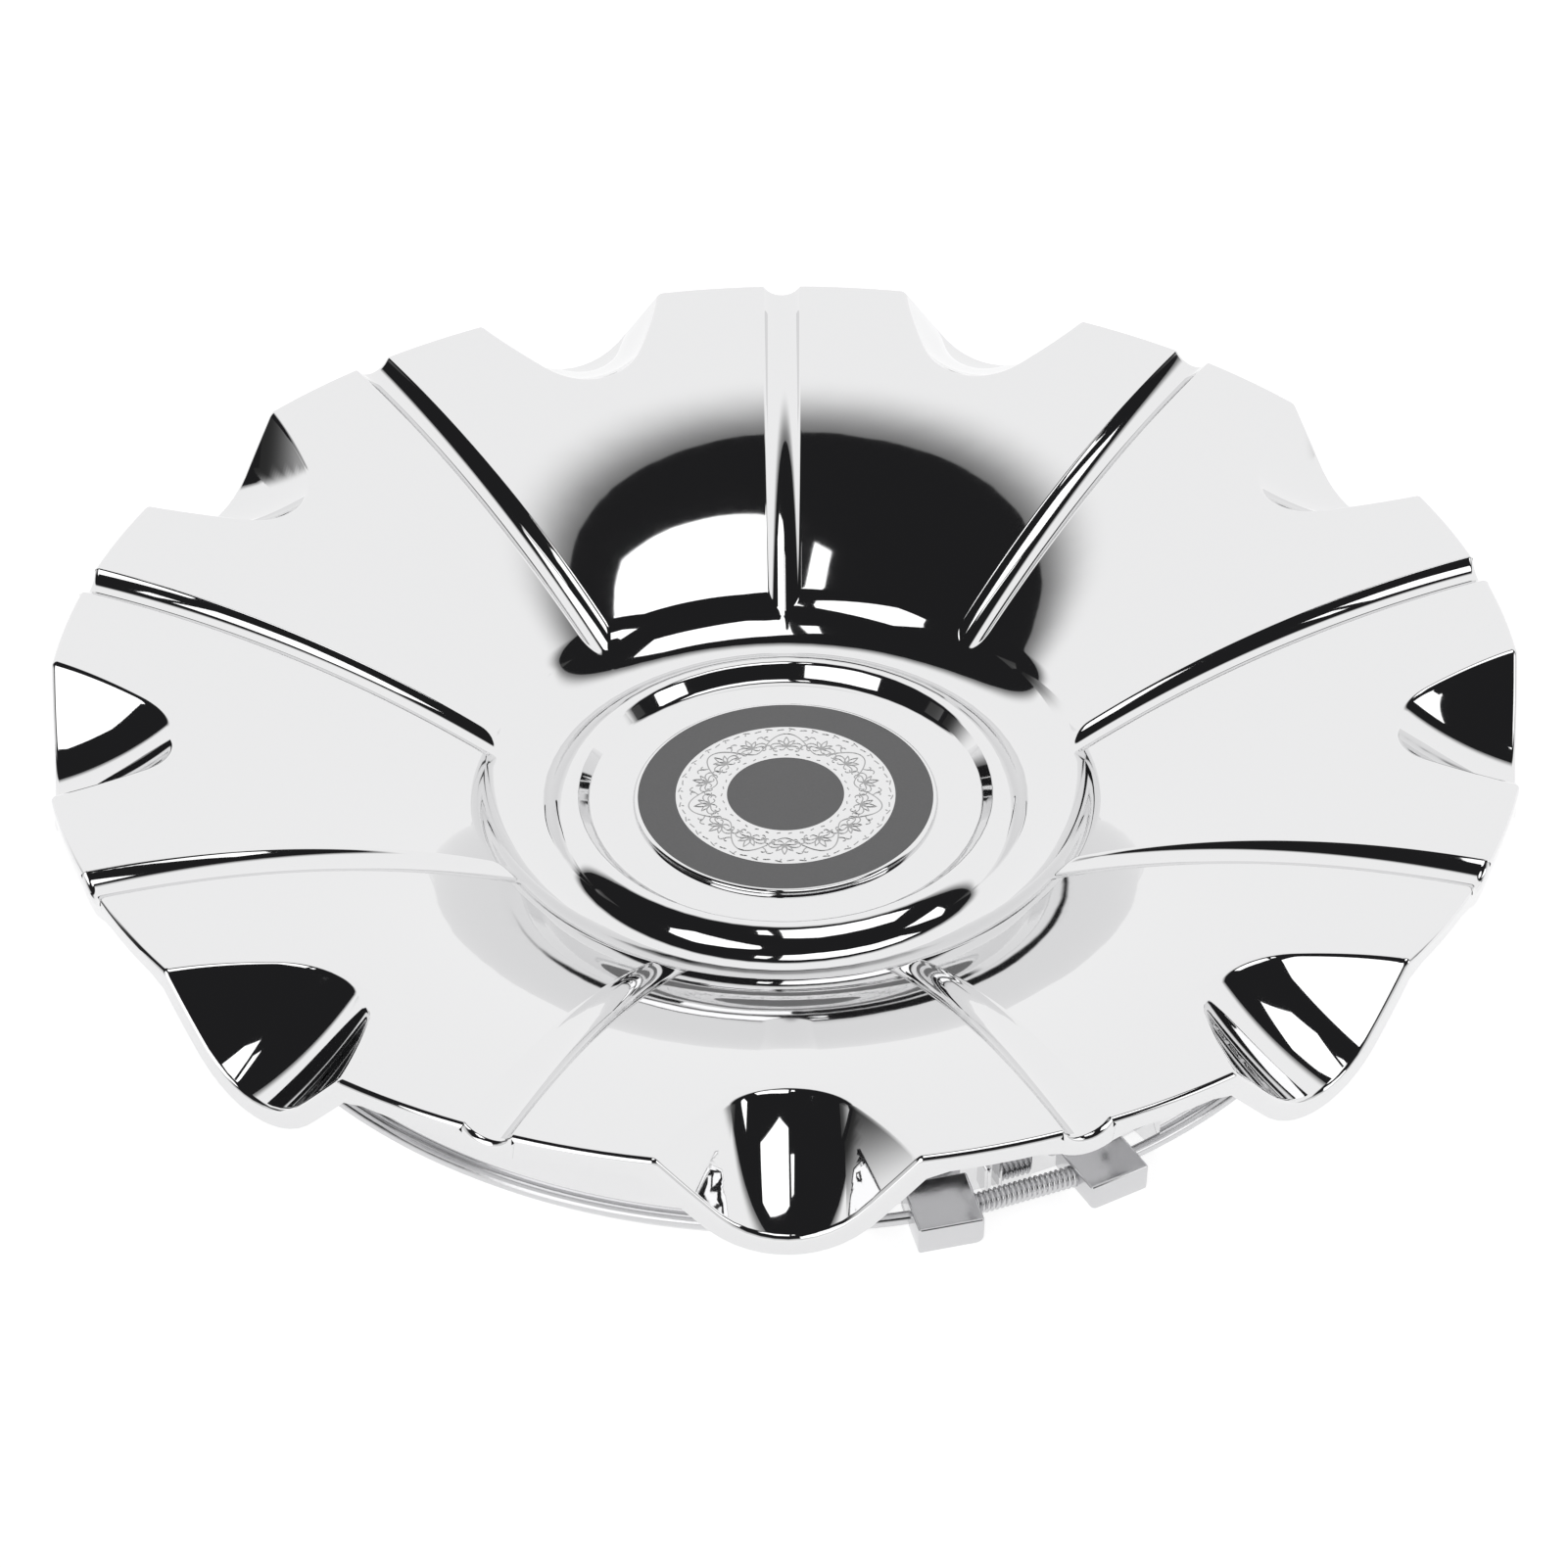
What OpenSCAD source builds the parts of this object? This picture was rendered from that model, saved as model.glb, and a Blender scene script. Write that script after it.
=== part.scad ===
// Wheel centre cap: a plated dish with nine scoops cut through its rim and nine
// flutes between them, an emblem plate in the middle, and a spring wire ring
// round the skirt that a threaded stud between two lugs opens and closes.
// The cap lies face up on its skirt. One scoop faces -Y and one flute faces +Y.

/* [Dish] */
// Radius of the cap at its rim
rim_r = 125; // [123:0.5:126]
// Height of the rim above the foot of the skirt
rim_h = 38; // [38:0.5:42]
// Wall thickness of the moulding
wall = 3.2; // [2.8:0.1:3.3]
// Radius at which the dish starts to roll over into the trough
lip_r = 56.03; // [55.5:0.01:56.5]
// Slope of the dish at the rim, in degrees
rim_slope = 10.1; // [9.5:0.1:10.5]
// Slope of the dish where it starts to roll over, in degrees
lip_slope = 32.1; // [31.5:0.1:32.5]
// Radius of the rolled lip
lip_bend = 9.2; // [8:0.1:10]
// Steepest slope between the lip and the trough, in degrees
fall_slope = 52; // [50:1:54]
// Radius of the hollow trough round the boss
trough_bend = 14.4; // [13:0.1:15]

/* [Scoops and flutes] */
// Number of scoops, and of flutes
sides = 9; // [7:1:9]
// Depth of a scoop below the rim
scoop_depth = 14.5; // [13:0.1:15]
// Radius of a scoop along its bottom line
scoop_sweep = 56.3; // [54:0.1:60]
// Slope of a scoop's bottom line where it leaves the rim, in degrees
scoop_slope = 12; // [10:0.5:14]
// Radius across the bottom of a scoop
scoop_round = 13.8; // [12:0.1:15]
// Slope of a scoop's flanks on either side of that radius, in degrees
scoop_flank = 46.5; // [44:0.5:48]
// Radius across a flute
flute_bend = 4.3; // [4:0.1:4.8]
// Depth of a flute at the rim
flute_depth = 2; // [1.6:0.1:2.2]
// Distance by which the flute's sweep is set in, so that it gets shallower inwards
flute_shift = 2.4; // [2:0.1:2.6]

/* [Boss and emblem] */
// Radius of the rounded top of the boss ring
boss_bend = 6.25; // [5.8:0.05:6.6]
// Height of the boss ring above the trough
boss_rise = 4.4; // [4:0.1:4.8]
// Depth of the emblem recess below the boss ring
recess_depth = 3.5; // [3.2:0.1:3.8]
// Radius of the emblem plate
emblem_r = 27.1; // [26.8:0.1:28]
// Thickness of the emblem plate
emblem_t = 0.9; // [0.8:0.1:1.2]
// Outer radius of the painted outer ring of the emblem
field_r = 26.2; // [25.8:0.1:26.3]
// Outer radius of the engraved ring of the emblem
band_r = 19.5; // [18:0.1:20.5]
// Radius of the painted disc in the middle of the emblem
disc_r = 10.4; // [9:0.1:11.5]

/* [Skirt and retaining ring] */
// Distance by which the rim stands out over the skirt
rim_over = 22.35; // [22:0.05:23]
// Distance from the skirt's face out to the centre line of the wire
ring_set = 0.55; // [0.45:0.05:0.7]
// Height of the wire ring above the foot
ring_h = 3.4; // [3.2:0.1:3.8]
// Diameter of the ring wire
wire_d = 2.1; // [2:0.1:2.3]
// Direction in which the adjuster sits, in degrees
adjuster_at = -69.4; // [-72:0.1:-68]
// Distance between the facing sides of the two lugs
lug_gap = 16.3; // [14:0.1:17]
// Width of a lug along the ring
lug_w = 10.4; // [9:0.1:11]
// Depth of a lug across the ring
lug_l = 10.6; // [9:0.1:11]
// Height of a lug
lug_t = 5; // [4.6:0.1:5.2]
// Diameter of the threaded stud
stud_d = 3.5; // [3:0.1:3.8]
// Length of stud inside each lug
stud_in = 4; // [3:0.1:4.2]
// Width of the key between the lugs
key_w = 5.5; // [4:0.1:6]
// Clearance between the lugs and the pocket behind them
pocket_clear = 1; // [0.8:0.1:1.4]
// Clearance between the key and the stud
key_clear = 0.9; // [0.7:0.1:1.2]

/* [Hidden] */
$fn = 96;
pitch = 360 / sides;
eps = 0.01;

// The arcs of the section, each given by the slope of the surface that it carries
function normal(slope) = [-sin(slope), cos(slope)];
dish_bow = (rim_r - lip_r) / (sin(lip_slope) - sin(rim_slope));
dish_c = [rim_r + dish_bow * sin(rim_slope), rim_h - dish_bow * cos(rim_slope)];
lip_c = dish_c + (dish_bow - lip_bend) * normal(lip_slope);
trough_c = lip_c + (lip_bend + trough_bend) * normal(fall_slope);
trough_z = trough_c[1] - trough_bend;
function dish_z(r) = dish_c[1] + sqrt(pow(dish_bow, 2) - pow(dish_c[0] - r, 2));

// How far, in degrees, the lip's strip of wall runs on into its neighbours
lap = 1;

// The boss ring, whose crest lies a little inside the bottom of the trough
boss_set = 5.3;
boss_c = [trough_c[0] - boss_set, trough_z + boss_rise - boss_bend];
boss_z = trough_z + boss_rise;
boss_inner_bend = 2.2;
core_w = 3;
recess_r = boss_c[0] - boss_inner_bend;
floor_z = boss_z - recess_depth;

// The wheel whose rounded edge shapes a scoop
scoop_c = [rim_r + scoop_sweep * sin(scoop_slope),
           rim_h - scoop_depth + scoop_sweep * cos(scoop_slope)];
scoop_reach = 34;
flank_set = 0.06;
overrun = 3;

// The centre line of a flute, an arc about a point set in from the centre of the dish's bow
flute_c = dish_c - [flute_shift, 0];
flute_bottom = dish_bow - flute_depth - flute_shift * sin(rim_slope);
flute_end_r = 50.6;
flute_wall_end_r = 57.7;
function flute_angle(r) = asin((flute_c[0] - r) / flute_bottom);

// The skirt, and the adjuster outside it: the wire's ends, the lugs and the stud
skirt_r = rim_r - rim_over;
skirt_in = skirt_r - wall;
foot_round = 1.6;
ring_r = skirt_r + ring_set;
lug_c = lug_gap / 2 + lug_w / 2;
lug_half = asin(lug_c / ring_r);
lug_in = 5.2;
lug_round = 1.3;
wire_in = 4.6;
stud_set = 0.3;
stud_line = ring_r * cos(lug_half) + stud_set;
stud_len = lug_gap + 2 * stud_in;

// The pocket in the skirt for the adjuster, with the key and the hook in it
pocket_r = ring_r - lug_in - pocket_clear;
pocket_half = 13.9;
key_r = stud_line - stud_d / 2 - key_clear;
hook_w = 1.1;
hook_set = 4.1;

// The emblem's bevelled edge and the depth of its painted fields
emblem_edge = 0.3;
paint_depth = 0.15;

// A stretch of bent wall, from the slope s1 to the slope s2
module bend(centre, inner, outer, s1, s2, side) {
    reach = side * 2 * outer;
    intersection() {
        difference() {
            translate(centre) circle(outer);
            translate(centre) circle(inner);
        }
        polygon([centre, centre + reach * normal(s1), centre + reach * normal(s2)]);
    }
}

// The wall of the dish, lip and trough in section
module dish_section() {
    intersection() {
        bend(dish_c, dish_bow - wall, dish_bow, 0, lip_slope, 1);
        square([rim_r, rim_h + overrun]);
    }
    bend(lip_c, lip_bend - wall, lip_bend, lip_slope - lap, fall_slope + lap, 1);
    bend(trough_c, trough_bend, trough_bend + wall, 0, fall_slope, -1);
}

// The boss ring and the floor of the recess in section, cored out from below
module boss_section() {
    difference() {
        union() {
            intersection() {
                translate(boss_c) circle(boss_bend);
                translate([boss_c[0], trough_z - wall]) square([boss_bend, boss_bend + wall]);
            }
            translate([boss_c[0], boss_z - boss_inner_bend]) circle(boss_inner_bend);
            translate([recess_r, floor_z - wall])
                square([boss_inner_bend, boss_z - boss_inner_bend - floor_z + wall]);
            translate([recess_r, trough_z - wall])
                square([trough_c[0] - recess_r, wall]);
            translate([0, floor_z - wall]) square([recess_r + eps, wall]);
        }
        core_section();
    }
}

// The groove under the boss ring that keeps its wall thin
module core_section() {
    top = boss_z - wall - core_w / 2;
    translate([boss_c[0] + core_w / 2, top]) circle(core_w / 2);
    translate([boss_c[0], 0]) square([core_w, top]);
}

// The skirt in section, with its rounded foot and the seat of the wire
module skirt_section() {
    difference() {
        translate([skirt_in, 0]) square([wall, dish_z(skirt_in) - wall / 2]);
        translate([skirt_r - foot_round, 0]) square(foot_round);
        translate([ring_r, ring_h]) circle(wire_d / 2);
    }
    intersection() {
        translate([skirt_r - foot_round, foot_round]) circle(foot_round);
        translate([skirt_r - foot_round, 0]) square(foot_round);
    }
}

// The part of a ring between two radii that faces the adjuster
module facing(r1, r2, z1, z2, half) {
    rotate([0, 0, adjuster_at - half])
        rotate_extrude(angle = 2 * half)
            translate([r1, z1]) square([r2 - r1, z2 - z1]);
}

// The skirt, with a pocket for the adjuster and the key that keeps the ring from turning
module skirt() {
    pocket_top = dish_z(pocket_r) - wall / 2;
    wall_half = pocket_half + asin(wall / pocket_r);
    difference() {
        union() {
            rotate_extrude() skirt_section();
            facing(pocket_r - wall, skirt_in + eps, 0, pocket_top, wall_half);
        }
        facing(pocket_r, skirt_r + wall, -overrun, rim_h, pocket_half);
    }
    rotate([0, 0, adjuster_at]) {
        translate([pocket_r - wall / 2, -key_w / 2, 0])
            cube([key_r - pocket_r + wall / 2, key_w, pocket_top - wall]);
        translate([pocket_r - wall / 2, -hook_set - hook_w / 2, 0])
            cube([key_r - pocket_r + wall / 2 - hook_w, hook_w, ring_h + lug_t / 2]);
    }
}

// The wheel that shapes a scoop, or with a wall added the outside of the scoop's wall
module scoop_wheel(extra) {
    round_r = scoop_round + extra;
    axle = scoop_sweep - scoop_round;
    foot = [axle + (round_r - flank_set) * cos(scoop_flank), (round_r - flank_set) * sin(scoop_flank)];
    top = foot + scoop_reach * [-sin(scoop_flank), cos(scoop_flank)];
    translate([scoop_c[0], 0, scoop_c[1]])
        rotate([90, 0, 0])
            rotate_extrude() {
                translate([axle, 0]) circle(round_r);
                polygon([foot, [foot[0], -foot[1]], [top[0], -top[1]], top]);
            }
}

// The round bar that shapes a flute, bent along the dish from the rim to the radius end_r
module flute_bar(extra, end_r) {
    inner_angle = flute_angle(end_r);
    outer_angle = flute_angle(rim_r + overrun);
    translate([flute_c[0], 0, flute_c[1]])
        rotate([90, 0, 0])
            rotate([0, 0, 90 + outer_angle])
                rotate_extrude(angle = inner_angle - outer_angle)
                    translate([flute_bottom + flute_bend, 0]) circle(flute_bend + extra);
}

// All the scoops and flutes, with or without the wall round them
module hollows(extra, end_r) {
    for (i = [0 : sides - 1]) {
        rotate([0, 0, -90 + i * pitch]) scoop_wheel(extra);
        rotate([0, 0, -90 + (i + 0.5) * pitch]) flute_bar(extra, end_r);
    }
}

// Everything that lies under the surface of the dish, inside the rim
module under_dish() {
    rotate_extrude()
        intersection() {
            translate(dish_c) circle(dish_bow);
            translate([flute_wall_end_r - wall, 0])
                square([rim_r - flute_wall_end_r + wall, rim_h + overrun]);
        }
}

module cap_shell() {
    color("gainsboro")
        difference() {
            union() {
                rotate_extrude() {
                    dish_section();
                    boss_section();
                }
                intersection() {
                    under_dish();
                    hollows(wall, flute_wall_end_r);
                }
                skirt();
            }
            hollows(0, flute_end_r);
        }
}

// The emblem plate: two painted fields sunk into a bright disc with a bevelled edge
module emblem_plate() {
    color("dimgray")
        translate([0, 0, floor_z])
            difference() {
                union() {
                    cylinder(r = emblem_r, h = emblem_t - emblem_edge);
                    translate([0, 0, emblem_t - emblem_edge])
                        cylinder(r1 = emblem_r, r2 = emblem_r - emblem_edge, h = emblem_edge);
                }
                translate([0, 0, emblem_t - paint_depth]) {
                    cylinder(r = disc_r, h = overrun);
                    difference() {
                        cylinder(r = field_r, h = overrun);
                        cylinder(r = band_r, h = overrun);
                    }
                }
            }
}

// The wire ring, open across the adjuster, with its ends inside the lugs
module retaining_ring() {
    open_half = lug_half + asin((lug_w / 2 - wire_in) / ring_r);
    color("silver")
        rotate([0, 0, adjuster_at + open_half])
            rotate_extrude(angle = 360 - 2 * open_half)
                translate([ring_r, ring_h]) circle(wire_d / 2);
}

// The wire's full circle, which bores the lugs
module wire_path() {
    rotate_extrude() translate([ring_r, ring_h]) circle(wire_d / 2);
}

// The stud's axis runs straight from lug to lug
module stud(d, length) {
    rotate([0, 0, adjuster_at])
        translate([stud_line, 0, ring_h])
            rotate([90, 0, 0]) cylinder(d = d, h = length, center = true);
}

// A lug in elevation, with the lower corner beside the stud rounded
module lug_outline() {
    difference() {
        translate([-lug_w / 2, 0]) square([lug_w, lug_t]);
        translate([lug_w / 2 - lug_round, 0]) square(lug_round);
    }
    translate([lug_w / 2 - lug_round, lug_round]) circle(lug_round);
}

// One lug, on the side of the adjuster that the sign gives
module lug(side) {
    at = adjuster_at + side * lug_half;
    color("darkgray")
        difference() {
            rotate([0, 0, at])
                translate([ring_r - lug_in, 0, ring_h - lug_t / 2])
                    rotate([90, 0, 90])
                        linear_extrude(lug_l)
                            mirror([side > 0 ? 1 : 0, 0]) lug_outline();
            intersection() {
                wire_path();
                rotate([0, 0, at + side * asin((lug_w / 2 - wire_in) / ring_r)])
                    translate([0, side > 0 ? 0 : -2 * lug_w, 0]) cube([2 * rim_r, 2 * lug_w, rim_h]);
            }
            stud(stud_d, stud_len);
        }
}

module ring_lug_left() {
    lug(-1);
}

module ring_lug_right() {
    lug(1);
}

module adjusting_stud() {
    color("gray") stud(stud_d, stud_len);
}

cap_shell();
emblem_plate();
retaining_ring();
ring_lug_left();
ring_lug_right();
adjusting_stud();
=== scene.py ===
import math

import bmesh
import bpy
import numpy as np
from mathutils import Matrix, Vector


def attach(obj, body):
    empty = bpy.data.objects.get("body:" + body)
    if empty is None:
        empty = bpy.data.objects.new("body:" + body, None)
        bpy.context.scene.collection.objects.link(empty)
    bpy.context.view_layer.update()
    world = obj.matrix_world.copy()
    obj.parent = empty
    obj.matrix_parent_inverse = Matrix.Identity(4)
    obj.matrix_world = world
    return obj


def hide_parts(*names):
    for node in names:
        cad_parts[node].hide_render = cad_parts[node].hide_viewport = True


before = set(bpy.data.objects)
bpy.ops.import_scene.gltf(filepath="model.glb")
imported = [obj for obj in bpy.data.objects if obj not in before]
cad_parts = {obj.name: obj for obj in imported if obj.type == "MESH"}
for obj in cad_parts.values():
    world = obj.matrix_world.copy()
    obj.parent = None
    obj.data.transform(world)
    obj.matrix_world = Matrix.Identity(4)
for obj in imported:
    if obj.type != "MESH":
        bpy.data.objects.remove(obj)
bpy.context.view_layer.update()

# The cap's sizes, in millimetres as on its drawing, with the foot of the skirt at z = 0
MM = 0.001
RIM_R = 125.0
RIM_H = 38.0
WALL = 3.2
RIM_SLOPE = 10.1
LIP_R = 56.03
LIP_SLOPE = 32.1
DISH_BOW = (RIM_R - LIP_R) / (math.sin(math.radians(LIP_SLOPE)) - math.sin(math.radians(RIM_SLOPE)))
LIP_BEND = 9.2
FALL_SLOPE = 52.0
TROUGH_BEND = 14.4
SIDES = 9
PITCH = 360.0 / SIDES
SCOOP_DEPTH = 14.5
SCOOP_SWEEP = 56.3
SCOOP_SLOPE = 12.0
SCOOP_ROUND = 13.8
SCOOP_FLANK = 46.5
FLUTE_BEND = 4.3
FLUTE_DEPTH = 2.0
FLUTE_SHIFT = 2.4
BOSS_BEND = 6.25
BOSS_RISE = 4.4
BOSS_SET = 5.3
BOSS_INNER_BEND = 2.2
RECESS_DEPTH = 3.5
CORE_W = 3.0
EMBLEM_R = 27.1
EMBLEM_T = 0.9
FIELD_R = 26.2
BAND_R = 19.5
DISC_R = 10.4
PAINT_DEPTH = 0.15
CUT_DEPTH = 0.09
RIM_OVER = 22.35
SKIRT_R = RIM_R - RIM_OVER
SKIRT_IN = SKIRT_R - WALL
FOOT_ROUND = 1.6
RING_SET = 0.55
RING_R = SKIRT_R + RING_SET
LUG_IN = 5.2
POCKET_CLEAR = 1.0
POCKET_R = RING_R - LUG_IN - POCKET_CLEAR
POCKET_HALF = 13.9
KEY_W = 5.5
HOOK_SET = 4.1
HOOK_W = 1.1
RING_H = 3.4
WIRE_D = 2.1
ADJUSTER_AT = -69.4
LUG_GAP = 16.3
LUG_W = 10.4
LUG_L = 10.6
LUG_T = 5.0
LUG_ROUND = 1.3
WIRE_IN = 4.6
STUD_D = 3.5
STUD_IN = 4.0
STUD_SET = 0.3
KEY_CLEAR = 0.9

# Soft edges that the plating gives: the rim's roll, the scoops' edges, the flutes' lips and their inner ends
ROLL = 1.0
SCOOP_BLEND = 0.8
FLUTE_BLEND = 0.3
FLUTE_FADE = 2.0

# The boss ring's soft section: its foot in the trough, its flank, its crest, and the wall into the recess
FOOT_SET = 2.48
FOOT_BEND = 4.3
FLANK_SLOPE = 47.0
FLANK_BEND = 7.5
CREST_SLOPE = 22.0
CREST_BEND = 3.85
INNER_SLOPE = 50.0
INNER_BEND = 1.3
FILLET_BEND = 2.0


def normal_at(slope):
    """Direction of the section's normal where the surface has that slope, in degrees."""
    return np.array([-math.sin(math.radians(slope)), math.cos(math.radians(slope))])


DISH_C = np.array([RIM_R + DISH_BOW * math.sin(math.radians(RIM_SLOPE)),
                   RIM_H - DISH_BOW * math.cos(math.radians(RIM_SLOPE))])
LIP_C = DISH_C + (DISH_BOW - LIP_BEND) * normal_at(LIP_SLOPE)
TROUGH_C = LIP_C + (LIP_BEND + TROUGH_BEND) * normal_at(FALL_SLOPE)
LIP_OUTER_R = (DISH_C + DISH_BOW * normal_at(LIP_SLOPE))[0]
TROUGH_Z = TROUGH_C[1] - TROUGH_BEND
BOSS_C = np.array([TROUGH_C[0] - BOSS_SET, TROUGH_Z + BOSS_RISE - BOSS_BEND])
BOSS_Z = TROUGH_Z + BOSS_RISE
RECESS_R = BOSS_C[0] - BOSS_INNER_BEND
FLOOR_Z = BOSS_Z - RECESS_DEPTH
SCOOP_C = np.array([RIM_R + SCOOP_SWEEP * math.sin(math.radians(SCOOP_SLOPE)),
                    RIM_H - SCOOP_DEPTH + SCOOP_SWEEP * math.cos(math.radians(SCOOP_SLOPE))])
FLUTE_C = DISH_C - np.array([FLUTE_SHIFT, 0.0])
FLUTE_BOTTOM = DISH_BOW - FLUTE_DEPTH - FLUTE_SHIFT * math.sin(math.radians(RIM_SLOPE))

# A height above all of the cap, where a scoop or a flute isn't
NOWHERE = 99.0


# The cap's face and its underside as heights over the plan

def root(value):
    """Square root of what is above zero, and zero elsewhere."""
    return np.sqrt(np.maximum(value, 0.0))


def section_height(r, depth=0.0):
    """Height of the revolved surface from the trough to the rim, or of its underside at that depth."""
    dish = DISH_C[1] + root((DISH_BOW - depth) ** 2 - (DISH_C[0] - r) ** 2)
    lip = LIP_C[1] + root((LIP_BEND - depth) ** 2 - (r - LIP_C[0]) ** 2)
    trough = TROUGH_C[1] - root((TROUGH_BEND + depth) ** 2 - (r - TROUGH_C[0]) ** 2)
    outer = (DISH_C + (DISH_BOW - depth) * normal_at(LIP_SLOPE))[0]
    inner = (LIP_C + (LIP_BEND - depth) * normal_at(FALL_SLOPE))[0]
    return np.where(r > outer, dish, np.where(r > inner, lip, trough))


def scoop_height(x, y, wall=0.0):
    """Height of a scoop's surface, where x runs out from the cap's axis along the scoop's middle."""
    bend = SCOOP_ROUND + wall
    flank = math.radians(SCOOP_FLANK)
    side = bend * math.sin(flank)
    off = np.abs(y)
    reach = SCOOP_SWEEP - SCOOP_ROUND + np.where(off < side, root(bend ** 2 - off ** 2),
                                                 bend * math.cos(flank) - (off - side) * math.tan(flank))
    along = SCOOP_C[0] - x
    return np.where(reach > np.abs(along), SCOOP_C[1] - root(reach ** 2 - along ** 2), NOWHERE)


def flute_height(x, y, wall=0.0):
    """Height of a flute's surface, where x runs out from the cap's axis along the flute's middle."""
    bend = FLUTE_BEND + wall
    reach = FLUTE_BOTTOM + FLUTE_BEND - root(bend ** 2 - y ** 2)
    height = FLUTE_C[1] + root(reach ** 2 - (FLUTE_C[0] - x) ** 2)
    return np.where(np.abs(y) < bend, height, NOWHERE)


def lower_of(a, b, blend):
    """The lower of two heights, with the edge between them rounded over that difference in height."""
    near = np.maximum(blend - np.abs(a - b), 0.0) / blend
    return np.minimum(a, b) - near * near * blend / 4


def about_middles(x, y):
    """Radius, and places (out, across) about the nearest scoop's middle and about the nearest flute's."""
    r = np.hypot(x, y)
    turn = np.degrees(np.arctan2(y, x)) + 90
    to_scoop = np.radians((turn + PITCH / 2) % PITCH - PITCH / 2)
    to_flute = np.radians(turn % PITCH - PITCH / 2)
    return r, (r * np.cos(to_scoop), r * np.sin(to_scoop)), (r * np.cos(to_flute), r * np.sin(to_flute))


def face_height(x, y):
    """Height of the cap's face from the trough to the rim."""
    r, on_scoop, on_flute = about_middles(x, y)
    height = lower_of(section_height(r), scoop_height(*on_scoop), SCOOP_BLEND)
    return lower_of(height, flute_height(*on_flute), FLUTE_BLEND)


def under_height(x, y):
    """Height of the cap's underside from the trough to the rim, where the flutes fade out over the lip."""
    r, on_scoop, on_flute = about_middles(x, y)
    height = lower_of(section_height(r, WALL), scoop_height(*on_scoop, WALL), SCOOP_BLEND)
    fade = np.clip((r - LIP_OUTER_R) / FLUTE_FADE, 0.0, 1.0)
    return lower_of(height, height + (flute_height(*on_flute, WALL) - height) * fade, FLUTE_BLEND)


def normals_of(height, x, y, up=1.0):
    """Unit normals of a height field, from its slopes."""
    step = 0.01
    slope_x = (height(x + step, y) - height(x - step, y)) / (2 * step)
    slope_y = (height(x, y + step) - height(x, y - step)) / (2 * step)
    n = np.stack([-slope_x, -slope_y, np.ones_like(x)], -1) * up
    return n / np.linalg.norm(n, axis=-1, keepdims=True)


# Rings of points, which the cap's mesh is woven from

# How far a scoop's edge stays from its middle, and how far close points reach on either side of an edge
SCOOP_EDGE_MIN = 1.6
SCOOP_EDGE_HALF = 1.1
FLUTE_LIP_HALF = 0.35

# The widest half of a scoop that is looked for, and half of a flute's width where it has run out
SCOOP_HALF_MAX = 20.0
FLUTE_HALF_MIN = 0.6


def half_width(height, r, widest, count, least):
    """Half of the width of a scoop or a flute between its edges at that radius."""
    off = np.linspace(0.0, widest, count)
    gap = height(root(r * r - off ** 2), off) - section_height(np.full_like(off, r))
    inside = np.nonzero(gap < 0)[0]
    return off[inside[-1]] if len(inside) else least


def spread(lo, hi, count):
    """Evenly spaced values, without the last."""
    return lo + (hi - lo) * (np.arange(count) / count)


def ring_turns(r):
    """Angles of the points round a ring, closer together along the scoops' edges and the flutes' lips."""
    edge = math.hypot(half_width(scoop_height, r, SCOOP_HALF_MAX, 801, 0.0), SCOOP_EDGE_MIN)
    lip = half_width(flute_height, r, FLUTE_BEND - 0.01, 401, FLUTE_HALF_MIN)
    scoop_edge = math.degrees(math.asin(edge / r))
    flute_lip = PITCH / 2 - math.degrees(math.asin(lip / r))
    soft = math.degrees(SCOOP_EDGE_HALF / r)
    fine = math.degrees(FLUTE_LIP_HALF / r)
    half = np.concatenate([
        spread(0.0, scoop_edge - soft, 9),
        spread(scoop_edge - soft, scoop_edge + soft, 7),
        spread(scoop_edge + soft, flute_lip - fine, 6),
        spread(flute_lip - fine, flute_lip + fine, 4),
        spread(flute_lip + fine, PITCH / 2, 5),
    ])
    sector = np.concatenate([half, [PITCH / 2], PITCH - half[:0:-1]])
    return np.concatenate([-90.0 + k * PITCH + sector for k in range(SIDES)])


def ring_points(r, turns, height):
    """Points of a ring of that radius, on the surface that the height field gives."""
    a = np.radians(turns)
    x, y = r * np.cos(a), r * np.sin(a)
    return np.stack([x, y, height(x, y)], -1)


def upright(turns):
    """Normals of an upright band round the cap at those angles."""
    a = np.radians(turns)
    return np.stack([np.cos(a), np.sin(a), np.zeros_like(a)], -1)


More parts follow.
